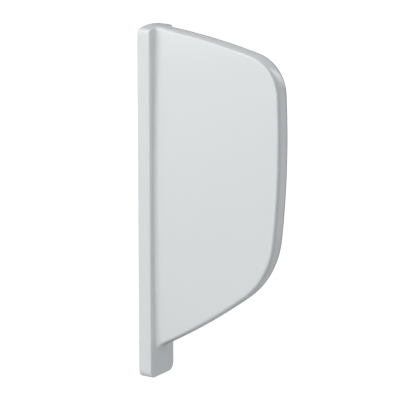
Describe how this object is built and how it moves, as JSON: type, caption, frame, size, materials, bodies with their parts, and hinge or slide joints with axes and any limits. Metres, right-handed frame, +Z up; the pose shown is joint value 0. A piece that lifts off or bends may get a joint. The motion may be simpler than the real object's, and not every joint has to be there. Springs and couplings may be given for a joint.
{
  "type": "urinal privacy screen",
  "caption": "Wall-hung glazed china urinal privacy screen: a tall flange with a thick pillow-shaped panel, hung on a hidden steel hanger and locked from below.",
  "frame": {"origin": "centre of the screen's back face, on the wall plane, half way up and half way across the flange", "axes": "+X out of the wall along the panel, +Y across the wall through the panel's thickness, +Z up"},
  "size_m": [0.3045, 0.082, 0.7],
  "materials": {
    "glazed_china": "glossy cool white glaze",
    "zinc_steel": "zinc plated",
    "black_rubber": "matte black",
    "natural_plastic": "natural nylon",
    "white_plastic": "glossy white"
  },
  "bodies": {
    "root": {"china_screen": "glazed_china", "wall_hanger": "zinc_steel", "hanger_sleeve": "black_rubber", "lock_bracket": "zinc_steel", "bracket_pad": "black_rubber", "lock_nut": "zinc_steel", "lock_bolt": "zinc_steel", "lock_washer": "zinc_steel", "bolt_bush": "natural_plastic", "bolt_cap": "white_plastic"}
  },
  "joints": []
}
